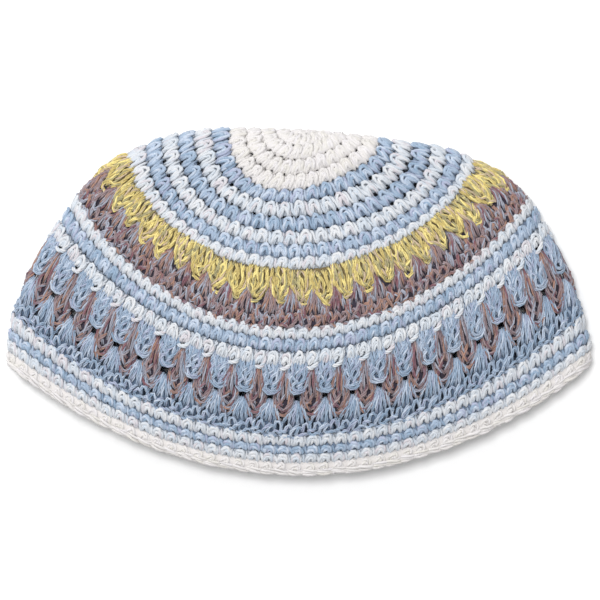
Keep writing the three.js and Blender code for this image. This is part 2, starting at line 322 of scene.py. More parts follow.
def layStrands(yarn, guides, strand, thick):
    # guides: (stitches, controls, 3) as share of the ring, rounds, lift
    samples = strand["samples"]
    guide = np.einsum("mk,skc->smc", smoothBasis(guides.shape[1], samples), guides)
    centre, outwards = onCap(guide[..., 0], guide[..., 1], guide[..., 2])
    if "shadeLeaf" in strand:
        layShadeLeaf(yarn, centre, outwards, strand["shadeLeaf"], strand["thick"])
        return
    stitches = len(guides)
    # painted shade for each point of the strand, by how deep it lies
    paintedShade = paintedShadeOf(guide[..., 2])
    along = unit(np.gradient(centre, axis=1))
    up = unit(outwards - along * np.sum(outwards * along, axis=-1, keepdims=True))
    beside = np.cross(along, up)
    progress = np.linspace(0, 1, samples)
    ends = 1 - yarnShape["taper"] * np.abs(2 * progress - 1) ** yarnShape["taperPower"]
    plies = strand["plies"]
    spread = strand["spread"] * thick if plies > 1 else 0
    start = random.uniform(0, 1, (stitches, 1))
    for ply in range(plies):
        angle = 2 * np.pi * (ply / plies + start + strand["turns"] * progress)
        rise = up * np.cos(angle)[..., None] * yarnShape["flattening"]
        offset = (rise + beside * np.sin(angle)[..., None]) * spread
        radius = strand["ply"] * thick * random.uniform(*yarnShape["thickness"], (stitches, 1)) * ends
        tone = np.broadcast_to(random.uniform(0, 1, (stitches, 1)), (stitches, samples))
        # each further ply gets more painted shade, so the plies of a strand read as lit and shaded
        plyPaintedShade = np.minimum(paintedShade + strand["paintedPlyShade"] * ply, 1)
        sweep(yarn, centre + offset, up, radius, radius, tone, plyPaintedShade, strand["sides"])


def workRound(yarn, count, phase, top, foot, stitch, jitter=0.02, thick=1.0, usual=longStrand):
    # one recipe at every place of a round, which goes from its top to its foot, counted in rounds
    places = np.arange(count)
    sway = random.normal(0, jitter, (count, 1, 3)) * yarnShape["sway"]
    for strand in stitch:
        path = np.array(strand["path"], dtype=float)
        wobble = random.normal(0, jitter, (count, len(path), 3)) * yarnShape["wobble"]
        spot = path[None] + sway + wobble
        guides = np.empty_like(spot)
        guides[..., 0] = (places[:, None] + phase + spot[..., 0]) / count
        guides[..., 1] = top + (foot - top) * spot[..., 1]
        guides[..., 2] = spot[..., 2]
        layStrands(yarn, guides, {**usual, **strand}, thick)


def layCore(yarn, rounds, halfWidth, lift, paintedShade, halfHeight=0.75, columns=160):
    # the strand that the stitches of a round are worked over, drawn partly in painted shade by its
    # share
    share = np.linspace(0, 1, columns, endpoint=False)[None]
    level = np.full(share.shape, float(rounds))
    centre, outwards = onCap(share, level, np.full(share.shape, lift))
    full = np.ones(share.shape)
    sweep(yarn, centre, outwards, full * halfWidth, full * halfHeight, full * yarnShape["plainTone"],
          full * paintedShade, yarnShape["plainSides"], closed=True)


def yarnObject(name, yarn, material):
    points = np.concatenate(yarn["points"]) * millimetre
    quads = np.concatenate(yarn["faces"])
    mapped = [np.concatenate(yarn["map"])]
    loops = [quads.ravel()]
    starts = [np.arange(len(quads)) * 4]
    reached = len(quads) * 4
    for sides, caps in yarn["caps"]:
        loops.append(caps.ravel())
        starts.append(reached + np.arange(len(caps)) * sides)
        mapped.append(np.zeros((caps.size, 2)))
        reached += caps.size
    loops = np.concatenate(loops).astype(np.int32)
    starts = np.concatenate(starts).astype(np.int32)
    mesh = bpy.data.meshes.new(name)
    mesh.vertices.add(len(points))
    mesh.vertices.foreach_set("co", points.ravel().astype(np.float32))
    mesh.loops.add(len(loops))
    mesh.loops.foreach_set("vertex_index", loops)
    mesh.polygons.add(len(starts))
    mesh.polygons.foreach_set("loop_start", starts)
    mesh.polygons.foreach_set("use_smooth", np.ones(len(starts), dtype=bool))
    mesh.update(calc_edges=True)
    strandMap = mesh.uv_layers.new(name="strandMap")
    strandMap.uv.foreach_set("vector", np.concatenate(mapped).ravel().astype(np.float32))
    for attribute in ("tone", "paintedShade"):
        values = mesh.attributes.new(attribute, "FLOAT", "POINT")
        values.data.foreach_set("value", np.concatenate(yarn[attribute]).astype(np.float32))
    mesh.materials.append(material)
    piece = bpy.data.objects.new(name, mesh)
    bpy.context.collection.objects.link(piece)
    mesh.calc_loop_triangles()
    print(name, len(mesh.loop_triangles), "triangles")
    return piece


# Each yarn mixes plies of four tones; its fifth colour is painted shade, mixed in where a ply lies deep
# in the fabric.
yarnTones = {
    "warm_white_yarn": {
        "Main": (0.65, 0.63, 0.62),
        "Second": (0.67, 0.65, 0.65),
        "Third": (0.64, 0.62, 0.59),
        "Fourth": (0.66, 0.64, 0.65),
        "PaintedShadeTone": (0.62, 0.59, 0.57),
    },
    "white_yarn": {
        "Main": (0.57, 0.60, 0.64),
        "Second": (0.64, 0.65, 0.67),
        "Third": (0.53, 0.58, 0.64),
        "Fourth": (0.58, 0.55, 0.58),
        "PaintedShadeTone": (0.42, 0.47, 0.54),
    },
    "blue_yarn": {
        "Main": (0.345, 0.43, 0.545),
        "Second": (0.485, 0.55, 0.65),
        "Third": (0.27, 0.365, 0.48),
        "Fourth": (0.38, 0.415, 0.54),
        "PaintedShadeTone": (0.125, 0.18, 0.275),
    },
    "yellow_yarn": {
        "Main": (0.56, 0.45, 0.17),
        "Second": (0.82, 0.70, 0.28),
        "Third": (0.37, 0.34, 0.19),
        "Fourth": (0.55, 0.43, 0.32),
        "PaintedShadeTone": (0.20, 0.15, 0.07),
    },
    "russet_yarn": {
        "Main": (0.29, 0.21, 0.215),
        "Second": (0.36, 0.38, 0.45),
        "Third": (0.36, 0.21, 0.16),
        "Fourth": (0.22, 0.10, 0.12),
        "PaintedShadeTone": (0.06, 0.05, 0.075),
    },
}

# The finish that all the yarns share, with their flecks of painted shade. Scales are per metre, and a
# step is the low and high end of a blend.
yarnFinishAndShade = {
    "roughness": 0.88,
    "specular": 0.25,
    "sheen": 0.12,
    "sheenRoughness": 0.5,
    "toneSteps": {"Second": (0.30, 0.40), "Third": (0.58, 0.66), "Fourth": (0.82, 0.88)},
    "mottleScale": 420,
    "mottleStep": (0.50, 0.85),
    # random flecks of painted shade, standing in for the shade between fibres
    "shadeFleckScale": 1100,
    "shadeFleckStep": (0.50, 0.95),
    "spotDetail": 2,
    "fuzzScale": 2600,
    "fuzzDetail": 3,
    "fibreTwist": 4.5,        # radians for each millimetre along a ply
    "fibreAround": 12.566,    # radians once around a ply
    "fibreDepth": 0.12,       # as a share of the fuzz
    "bumpDistance": 0.0002,
    "bumpStrength": 0.5,
}


def buildPlyToneAndShade():
    group = bpy.data.node_groups.new("plyToneAndShade", "ShaderNodeTree")
    for name in yarnTones["blue_yarn"]:
        group.interface.new_socket(name, in_out="INPUT", socket_type="NodeSocketColor")
    group.interface.new_socket("Color", in_out="OUTPUT", socket_type="NodeSocketColor")
    nodes, links = group.nodes, group.links
    inputs = nodes.new("NodeGroupInput")
    output = nodes.new("NodeGroupOutput")
    tone = nodes.new("ShaderNodeAttribute")
    tone.attribute_name = "tone"
    paintedShade = nodes.new("ShaderNodeAttribute")
    paintedShade.attribute_name = "paintedShade"
    place = nodes.new("ShaderNodeTexCoord")

    def mix(factor, first, second):
        node = nodes.new("ShaderNodeMix")
        node.data_type = "RGBA"
        links.new(factor, node.inputs["Factor"])
        links.new(first, node.inputs["A"])
        links.new(second, node.inputs["B"])
        return node.outputs["Result"]

    def ramp(source, step):
        node = nodes.new("ShaderNodeMapRange")
        node.interpolation_type = "SMOOTHSTEP"
        node.inputs["From Min"].default_value = step[0]
        node.inputs["From Max"].default_value = step[1]
        links.new(source, node.inputs["Value"])
        return node.outputs["Result"]

    def noise(scale):
        node = nodes.new("ShaderNodeTexNoise")
        node.inputs["Scale"].default_value = scale
        node.inputs["Detail"].default_value = yarnFinishAndShade["spotDetail"]
        links.new(place.outputs["Object"], node.inputs["Vector"])
        return node.outputs["Fac"]

    color = inputs.outputs["Main"]
    for name, step in yarnFinishAndShade["toneSteps"].items():
        color = mix(ramp(tone.outputs["Fac"], step), color, inputs.outputs[name])
    mottle = ramp(noise(yarnFinishAndShade["mottleScale"]), yarnFinishAndShade["mottleStep"])
    color = mix(mottle, color, inputs.outputs["Second"])
    # random flecks of painted shade between the fibres
    shadeFleck = ramp(noise(yarnFinishAndShade["shadeFleckScale"]), yarnFinishAndShade["shadeFleckStep"])
    color = mix(shadeFleck, color, inputs.outputs["PaintedShadeTone"])
    # painted shade, by the share that each point carries
    color = mix(paintedShade.outputs["Fac"], color, inputs.outputs["PaintedShadeTone"])
    links.new(color, output.inputs["Color"])
    return group


def buildPlyTwist():
    group = bpy.data.node_groups.new("plyTwist", "ShaderNodeTree")
    strength = group.interface.new_socket("Strength", in_out="INPUT", socket_type="NodeSocketFloat")
    strength.default_value = yarnFinishAndShade["bumpStrength"]
    group.interface.new_socket("Normal", in_out="OUTPUT", socket_type="NodeSocketVector")
    nodes, links = group.nodes, group.links
    inputs = nodes.new("NodeGroupInput")
    output = nodes.new("NodeGroupOutput")
    strandMap = nodes.new("ShaderNodeUVMap")
    strandMap.uv_map = "strandMap"
    parts = nodes.new("ShaderNodeSeparateXYZ")
    links.new(strandMap.outputs["UV"], parts.inputs["Vector"])

    def math(operation, first, second):
        node = nodes.new("ShaderNodeMath")
        node.operation = operation
        for socket, value in zip(node.inputs, (first, second)):
            if isinstance(value, (int, float)):
                socket.default_value = value
            else:
                links.new(value, socket)
        return node.outputs["Value"]

    along = math("MULTIPLY", parts.outputs["X"], yarnFinishAndShade["fibreTwist"])
    around = math("MULTIPLY", parts.outputs["Y"], yarnFinishAndShade["fibreAround"])
    fibres = math("SINE", math("ADD", along, around), 0)
    place = nodes.new("ShaderNodeTexCoord")
    fuzz = nodes.new("ShaderNodeTexNoise")
    fuzz.inputs["Scale"].default_value = yarnFinishAndShade["fuzzScale"]
    fuzz.inputs["Detail"].default_value = yarnFinishAndShade["fuzzDetail"]
    links.new(place.outputs["Object"], fuzz.inputs["Vector"])
    height = math("ADD", math("MULTIPLY", fibres, yarnFinishAndShade["fibreDepth"]), fuzz.outputs["Fac"])
    bump = nodes.new("ShaderNodeBump")
    bump.inputs["Distance"].default_value = yarnFinishAndShade["bumpDistance"]
    links.new(inputs.outputs["Strength"], bump.inputs["Strength"])
    links.new(height, bump.inputs["Height"])
    links.new(bump.outputs["Normal"], output.inputs["Normal"])
    return group


plyToneAndShade = buildPlyToneAndShade()
plyTwist = buildPlyTwist()


def yarnMaterial(slot):
    material = bpy.data.materials.new(slot)
    material.use_nodes = True
    nodes, links = material.node_tree.nodes, material.node_tree.links
    shader = nodes["Principled BSDF"]
    shader.inputs["Roughness"].default_value = yarnFinishAndShade["roughness"]
    shader.inputs["Specular IOR Level"].default_value = yarnFinishAndShade["specular"]
    shader.inputs["Sheen Weight"].default_value = yarnFinishAndShade["sheen"]
    shader.inputs["Sheen Roughness"].default_value = yarnFinishAndShade["sheenRoughness"]
    tone = nodes.new("ShaderNodeGroup")
    tone.node_tree = plyToneAndShade
    for name, value in yarnTones[slot].items():
        tone.inputs[name].default_value = (*value, 1)
    twist = nodes.new("ShaderNodeGroup")
    twist.node_tree = plyTwist
    links.new(tone.outputs["Color"], shader.inputs["Base Color"])
    links.new(twist.outputs["Normal"], shader.inputs["Normal"])
    return material


yarns = {slot: yarnMaterial(slot) for slot in yarnTones}
print("yarn dyed")


def finishPiece(node, yarn, slot):
    piece = yarnObject(node + "_stitches", yarn, yarns[slot])
    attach(piece, "root")
    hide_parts(node)
    return piece


# Every recipe is a list of strands. The points of a path say how far along the round, in pitches, how
# far down it, as a share of it, and how high over the fabric, in millimetres. A shade leaf, a sheet of
# painted shade behind a cluster, lists half widths.

# A single stitch is a rounded block: one arch inside another, their feet under the round below,
# a link to the next stitch and the bar that crosses its back.
blockStitch = [
    {"path": [(-0.27, 1.10, -0.6), (-0.30, 0.78, 0.5), (-0.27, 0.38, 0.95), (-0.13, 0.11, 1.1),
              (0.09, 0.09, 1.1), (0.25, 0.34, 0.95), (0.29, 0.74, 0.5), (0.30, 1.10, -0.6)],
     "ply": 0.68, "spread": 0.34, "turns": 2.0, "samples": 12},
    {"path": [(-0.20, 1.04, -0.3), (-0.18, 0.74, 0.8), (-0.11, 0.44, 1.2), (0.03, 0.34, 1.3),
              (0.14, 0.56, 1.0), (0.19, 1.0, -0.2)],
     "ply": 0.66, "spread": 0.30, "turns": 1.2, "samples": 7},
    {"path": [(0.30, 1.06, -0.1), (0.45, 0.72, 0.4), (0.54, 0.36, 0.3), (0.62, 0.04, -0.3)],
     "ply": 0.64, "spread": 0.34, "turns": 0.8, "samples": 6},
    {"path": [(-0.3, 0.15, -1.3), (0, 0.5, -1.75), (0.3, 0.85, -1.3)],
     "plies": 1, "ply": 0.8, "samples": 4},
]


def blockRound(yarn, count, phase, top, foot, thick=1.0, lift=-0.7, paintedShade=0.85):
    # the core is drawn 0.85 of the way into painted shade unless told otherwise
    layCore(yarn, (top + foot) / 2, halfWidth=2.9, lift=lift, paintedShade=paintedShade)
    workRound(yarn, count, phase, top, foot, blockStitch, thick=thick)


crownPlan = {
    "stitchesPerIncrease": 6,     # every stripe has six more than the last
    "discRounds": (7, 14, 21, 28, 35),
    "disc": {"thick": 1.22, "lift": 0.35, "paintedShade": 0.1},    # a fuller yarn on a core that shows, with little painted shade
    "centre": 0.2,                # where the first round starts, in rounds
    "stripes": ("blue_stripe_1", "white_stripe_1", "blue_stripe_2",
                "white_stripe_2", "blue_stripe_3", "white_stripe_3"),
    "drift": 0.37,                # how far each round starts along from the last, in stitches
}


def makeCrown():
    more = crownPlan["stitchesPerIncrease"]
    yarn = newYarn()
    for step, count in enumerate(crownPlan["discRounds"]):
        blockRound(yarn, count, crownPlan["drift"] * step, max(step, crownPlan["centre"]), step + 1,
                   **crownPlan["disc"])
    finishPiece("crown_disc", yarn, "warm_white_yarn")
    for step, node in enumerate(crownPlan["stripes"]):
        top = len(crownPlan["discRounds"]) + step
        yarn = newYarn()
        blockRound(yarn, more * (top + 1), crownPlan["drift"] * top, top, top + 1)
        finishPiece(node, yarn, "blue_yarn" if node.startswith("blue") else "white_yarn")


makeCrown()
print("crown worked")


# The two bands of long stitches: yellow clusters and the russet fans that reach up between them.
bandPlan = {
    "count": 48,
    "yellow": (10.85, 13.55),
    "yellowCores": {"rounds": (11.3, 12.2), "halfWidth": 3.2, "lift": -1.1},
    "yellowJitter": 0.045,
    "russet": (12.3, 15.7),
    "russetCores": {"rounds": (13.1, 14.1, 15.0), "halfWidth": 3.0, "lift": -1.3},
    "russetJitter": 0.03,
}
yellowCluster = [
    {"path": [(0, 0.05, -0.6), (0, 0.5, -0.3), (0, 0.90, -0.6)], "shadeLeaf": [4.0, 4.4, 3.2], "thick": 0.6},
    {"path": [(-0.46, 0.02, 0.0), (-0.50, 0.20, 1.1), (-0.46, 0.42, 1.2), (-0.36, 0.68, 0.5)]},
    {"path": [(-0.38, 0.00, 0.1), (-0.26, 0.16, 1.5), (-0.20, 0.32, 1.5), (-0.28, 0.50, 0.8)]},
    {"path": [(-0.14, 0.00, 0.1), (-0.28, 0.22, 1.6), (-0.24, 0.46, 1.7), (-0.10, 0.66, 0.8)]},
    {"path": [(-0.06, 0.02, 0.1), (0.03, 0.22, 1.6), (0.12, 0.40, 1.7), (0.08, 0.58, 0.9)]},
    {"path": [(0.12, 0.00, 0.1), (0.04, 0.18, 1.7), (-0.08, 0.36, 1.8), (-0.06, 0.56, 1.0)]},
    {"path": [(0.20, 0.02, 0.1), (0.28, 0.24, 1.4), (0.20, 0.46, 1.6), (0.28, 0.68, 0.7)]},
    {"path": [(0.38, 0.00, 0.0), (0.30, 0.16, 1.5), (0.38, 0.34, 1.5), (0.30, 0.54, 0.7)]},
    {"path": [(0.54, 0.06, 0.0), (0.49, 0.22, 1.2), (0.47, 0.44, 1.2), (0.36, 0.70, 0.4)]},
    {"path": [(-0.44, 0.38, 0.6), (-0.36, 0.54, 1.4), (-0.26, 0.70, 1.4), (-0.12, 0.86, 0.6)]},
    {"path": [(0.44, 0.36, 0.6), (0.38, 0.54, 1.4), (0.28, 0.70, 1.4), (0.16, 0.88, 0.5)]},
    {"path": [(-0.34, 0.46, 0.5), (-0.22, 0.62, 1.5), (-0.08, 0.76, 1.6), (0.06, 0.90, 0.6)]},
    {"path": [(0.26, 0.50, 0.5), (0.18, 0.66, 1.6), (0.04, 0.78, 1.7), (-0.12, 0.88, 0.6)]},
    {"path": [(0.02, 0.44, 1.0), (-0.02, 0.60, 1.8), (0.10, 0.74, 1.5), (0.16, 0.90, 0.4)]},
    {"path": [(-0.25, 0.78, 0.3), (-0.13, 0.95, 1.0), (0.10, 0.97, 1.0), (0.24, 0.80, 0.3)]},
]
russetFan = [
    {"path": [(0, 0.06, -1.1), (0, 0.4, -0.9), (0, 0.7, -0.9), (0, 0.98, -1.0)],
     "shadeLeaf": [0.5, 2.4, 3.9, 4.0], "thick": 0.6},
    {"path": [(-0.03, 0, -0.2), (-0.13, 0.16, 0.8), (-0.26, 0.36, 1.0), (-0.36, 0.58, 0.3)]},
    {"path": [(-0.01, 0, 0.0), (-0.07, 0.18, 1.2), (-0.15, 0.38, 1.3), (-0.20, 0.62, 0.4)]},
    {"path": [(0, 0, 0.1), (0.01, 0.20, 1.4), (0.0, 0.42, 1.5), (-0.03, 0.66, 0.5)]},
    {"path": [(0.01, 0, 0.0), (0.09, 0.18, 1.2), (0.16, 0.40, 1.3), (0.18, 0.64, 0.4)]},
    {"path": [(0.03, 0, -0.2), (0.15, 0.16, 0.8), (0.28, 0.36, 1.0), (0.38, 0.56, 0.3)]},
    {"path": [(-0.48, 0.80, 0.1), (-0.48, 0.62, 1.0), (-0.40, 0.52, 1.2), (-0.32, 0.62, 1.0),
              (-0.34, 0.82, 0.3)]},
    {"path": [(-0.40, 0.98, 0.1), (-0.36, 0.78, 1.1), (-0.24, 0.66, 1.3), (-0.12, 0.70, 0.8)]},
    {"path": [(-0.28, 0.70, 0.6), (-0.18, 0.84, 1.4), (-0.04, 0.92, 1.2), (0.10, 0.98, 0.2)]},
    {"path": [(-0.08, 1.0, 0.1), (-0.08, 0.80, 1.2), (0.0, 0.66, 1.5), (0.10, 0.72, 1.2),
              (0.12, 0.90, 0.4)]},
    {"path": [(0.08, 0.58, 0.6), (0.20, 0.72, 1.4), (0.30, 0.84, 1.2), (0.44, 0.92, 0.3)]},
    {"path": [(0.20, 1.0, 0.1), (0.24, 0.82, 1.1), (0.34, 0.68, 1.2), (0.44, 0.70, 0.6)]},
    {"path": [(-0.56, 0.92, 0.1), (-0.42, 1.0, 0.9), (-0.26, 0.94, 1.0), (-0.12, 1.0, 0.2)]},
    {"path": [(0.10, 0.96, 0.2), (0.24, 0.98, 1.0), (0.40, 0.92, 1.0), (0.50, 1.0, 0.2)]},
    {"path": [(-0.52, 0.36, 0.1), (-0.46, 0.48, 1.0), (-0.52, 0.62, 1.1), (-0.60, 0.74, 0.3)]},
    {"path": [(0.38, 0.42, 0.3), (0.48, 0.52, 1.1), (0.44, 0.68, 1.0), (0.53, 0.80, 0.3)]},
    {"path": [(0.56, 0.40, 0.0), (0.52, 0.56, 0.8), (0.58, 0.70, 0.8), (0.52, 0.86, 0.2)]},
]


def makeBand(node, band, phase, stitch):
    cores = bandPlan[band + "Cores"]
    yarn = newYarn()
    for rounds in cores["rounds"]:
        # the cores are drawn fully in painted shade
        layCore(yarn, rounds, halfWidth=cores["halfWidth"], lift=cores["lift"], paintedShade=1)
    workRound(yarn, bandPlan["count"], phase, *bandPlan[band], stitch,
              jitter=bandPlan[band + "Jitter"], usual=bandStrand)
    finishPiece(node, yarn, band + "_yarn")


makeBand("yellow_cluster_round", "yellow", 0, yellowCluster)
makeBand("russet_fan_round", "russet", 0.5, russetFan)
print("yellow and russet bands worked")


sidePlan = {
    "count": 96,
    "white": (15.5, 16.5),
    "whiteLift": -1.3,        # its core lies deep, and is drawn fully in painted shade
    "blue": (16.5, 17.5),
    "bluePhase": 0.1,
}


def makeSides():
    yarn = newYarn()
    blockRound(yarn, sidePlan["count"], 0, *sidePlan["white"], lift=sidePlan["whiteLift"], paintedShade=1)
    finishPiece("white_side_round", yarn, "white_yarn")
    yarn = newYarn()
    blockRound(yarn, sidePlan["count"], sidePlan["bluePhase"], *sidePlan["blue"])
    finishPiece("blue_side_round", yarn, "blue_yarn")


makeSides()
print("side rounds worked")


# The openwork: three rounds of clusters like scales, under a white round that dips between them.
openworkPlan = {
    "count": 46,
    "phase": 0.6,             # how far the clusters start along from the right fold, in pitches
    "white": (17.5, 18.5),
    "whiteCores": ((17.95, 2.6), (18.35, 1.5)),    # round and half width
    "coreLift": -1.2,
    "clusterJitter": 0.015,
    "upper": (18.05, 20.8),
    "russet": (18.75, 22.85),
    "lower": (21.25, 24.15),
}
shortWhiteStitch = [
    {"path": [(-0.15, 1.14, -0.3), (-0.16, 0.82, 0.8), (-0.145, 0.38, 1.1), (-0.06, 0.10, 1.0),
              (0.04, 0.08, 1.0), (0.13, 0.34, 1.1), (0.155, 0.78, 0.8), (0.16, 1.14, -0.3)],
     "ply": 0.56, "spread": 0.46, "turns": 1.6, "samples": 12, "sides": 5},
    {"path": [(-0.08, 1.16, 0.1), (-0.08, 0.82, 1.3), (-0.045, 0.46, 1.5), (0.03, 0.36, 1.5),
              (0.075, 0.62, 1.4), (0.08, 1.14, 0.1)],
     "ply": 0.54, "spread": 0.42, "turns": 1.2, "samples": 9},
]
dippedWhiteStitch = [
    {"path": [(0.11, 1.04, 0.1), (0.13, 0.84, 0.8), (0.12, 0.46, 1.1), (0.06, 0.20, 1.2),
              (-0.05, 0.18, 1.2), (-0.12, 0.42, 1.1), (-0.14, 0.76, 1.0), (-0.11, 1.00, 0.9)],
     "ply": 0.58, "spread": 0.48, "turns": 2.0, "samples": 13, "sides": 5},
    {"path": [(0.07, 1.00, 0.5), (0.07, 0.76, 1.1), (0.03, 0.52, 1.4), (-0.03, 0.50, 1.4),
              (-0.06, 0.70, 1.3), (-0.07, 0.96, 0.9)],
     "ply": 0.54, "spread": 0.42, "turns": 1.4, "samples": 9},
    {"path": [(-0.17, 0.84, 0.7), (-0.11, 1.04, 1.5), (0.00, 1.20, 1.6), (0.12, 1.27, 1.2),
              (0.24, 1.26, 0.3)],
     "plies": 3, "ply": 0.50, "spread": 0.5, "turns": 1.2, "samples": 9},
    {"path": [(-0.19, 1.06, 0.0), (-0.20, 0.72, 0.4), (-0.23, 0.36, 0.3), (-0.26, 0.04, -0.3)],
     "ply": 0.54, "spread": 0.44, "samples": 6},
    {"path": [(0.28, 1.06, 0.0), (0.26, 0.72, 0.4), (0.23, 0.36, 0.3), (0.20, 0.04, -0.3)],
     "ply": 0.54, "spread": 0.44, "samples": 6},
]
upperCluster = [
    {"path": [(0, 0.02, -1.1), (0, 0.35, -0.8), (0, 0.7, -0.7), (0, 0.95, -0.8)],
     "shadeLeaf": [2.4, 3.1, 3.1, 2.6], "thick": 0.6},
    {"path": [(-0.18, 0.00, -0.8), (-0.26, 0.14, 0.5), (-0.33, 0.32, 1.0), (-0.32, 0.52, 0.4)]},
    {"path": [(-0.10, 0.02, -0.8), (-0.16, 0.16, 0.8), (-0.19, 0.32, 1.5), (-0.26, 0.46, 0.8)]},
    {"path": [(0.00, 0.02, -0.8), (-0.02, 0.16, 0.8), (-0.08, 0.30, 1.6), (-0.14, 0.44, 1.0)]},
    {"path": [(0.08, 0.02, -0.8), (0.11, 0.16, 0.8), (0.07, 0.30, 1.5), (-0.03, 0.44, 1.0)]},
    {"path": [(0.18, 0.00, -0.8), (0.26, 0.14, 0.5), (0.33, 0.30, 1.0), (0.33, 0.48, 0.4)]},
    {"path": [(-0.23, 0.10, -0.2), (-0.11, 0.22, 1.2), (0.02, 0.36, 1.8), (0.10, 0.50, 1.0)]},
    {"path": [(-0.30, 0.20, 0.5), (-0.20, 0.32, 1.5), (-0.07, 0.46, 1.8), (0.03, 0.62, 0.9)]},
    {"path": [(0.28, 0.12, 0.5), (0.21, 0.26, 1.5), (0.14, 0.44, 1.8), (0.17, 0.60, 0.9)]},
    {"path": [(0.33, 0.36, 0.3), (0.26, 0.48, 1.3), (0.10, 0.60, 1.9), (-0.02, 0.74, 1.0)]},
    {"path": [(-0.32, 0.38, 0.4), (-0.26, 0.54, 1.4), (-0.14, 0.66, 1.8), (0.02, 0.80, 1.0)]},
    {"path": [(-0.12, 0.28, 1.0), (-0.20, 0.42, 1.7), (-0.23, 0.58, 1.6), (-0.15, 0.74, 1.0)]},
    {"path": [(-0.06, 0.38, 0.8), (0.01, 0.50, 1.5), (0.02, 0.64, 1.5), (-0.04, 0.78, 0.9)]},
    {"path": [(0.12, 0.30, 0.9), (0.22, 0.44, 1.6), (0.26, 0.60, 1.5), (0.20, 0.76, 0.7)]},
    {"path": [(0.02, 0.54, 0.9), (0.10, 0.66, 1.8), (0.19, 0.76, 1.5), (0.15, 0.90, 0.8)]},
    {"path": [(-0.18, 0.62, 0.8), (-0.11, 0.74, 1.6), (-0.04, 0.86, 1.5), (-0.12, 0.96, 0.5)]},
    {"path": [(-0.32, 0.30, 0.2), (-0.35, 0.52, 0.9), (-0.33, 0.76, 0.9), (-0.28, 0.94, 0.2)]},
    {"path": [(0.32, 0.30, 0.2), (0.35, 0.54, 0.9), (0.33, 0.78, 0.9), (0.28, 0.95, 0.2)]},
    {"path": [(-0.32, 0.74, 0.4), (-0.25, 0.94, 1.2), (0.0, 0.99, 1.4), (0.25, 0.93, 1.2),
              (0.32, 0.74, 0.4)]},
    {"path": [(-0.22, 0.78, 0.9), (-0.12, 0.90, 1.6), (0.06, 0.93, 1.6), (0.18, 0.84, 1.2),
              (0.25, 0.72, 0.5)]},
]
russetCluster = [
    {"path": [(0, 0.08, -1.3), (0, 0.35, -1.1), (0, 0.65, -1.0), (0, 0.90, -1.1)],
     "shadeLeaf": [0.5, 1.8, 2.8, 2.0], "thick": 0.6},
    {"path": [(-0.04, 0.0, 0.0), (-0.13, 0.13, 0.9), (-0.21, 0.30, 1.2), (-0.30, 0.56, 0.6)]},
    {"path": [(-0.01, 0.0, 0.2), (-0.06, 0.16, 1.3), (-0.09, 0.36, 1.5), (-0.14, 0.60, 1.0)]},
    {"path": [(0.02, 0.0, 0.1), (0.05, 0.16, 1.2), (0.07, 0.36, 1.4), (0.03, 0.58, 0.8)]},
    {"path": [(0.05, 0.02, 0.0), (0.13, 0.14, 0.9), (0.21, 0.30, 1.1), (0.31, 0.54, 0.5)]},
    {"path": [(-0.34, 0.50, 0.2), (-0.27, 0.62, 1.2), (-0.11, 0.74, 1.5), (0.03, 0.84, 0.7)]},
    {"path": [(0.34, 0.50, 0.2), (0.28, 0.62, 1.2), (0.13, 0.73, 1.5), (-0.03, 0.82, 0.8)]},
    {"path": [(-0.08, 0.50, 0.6), (0.04, 0.60, 1.6), (0.18, 0.70, 1.4), (0.25, 0.86, 0.4)]},
    {"path": [(-0.28, 0.74, 0.3), (-0.12, 0.86, 1.2), (0.06, 0.90, 1.2), (0.24, 0.84, 0.3)]},
    {"path": [(-0.35, 0.56, 0.2), (-0.33, 0.74, 0.9), (-0.20, 0.90, 0.9), (-0.02, 0.98, 0.3)]},
    {"path": [(0.35, 0.54, 0.2), (0.33, 0.76, 0.9), (0.18, 0.92, 0.9), (0.02, 1.0, 0.3)]},
    {"path": [(0.16, 0.42, 0.8), (0.19, 0.54, 1.6), (0.10, 0.64, 1.4), (-0.02, 0.70, 0.8)]},
    {"path": [(-0.14, 0.44, 0.6), (-0.22, 0.58, 1.4), (-0.19, 0.74, 1.4), (-0.10, 0.86, 0.6)]},
]
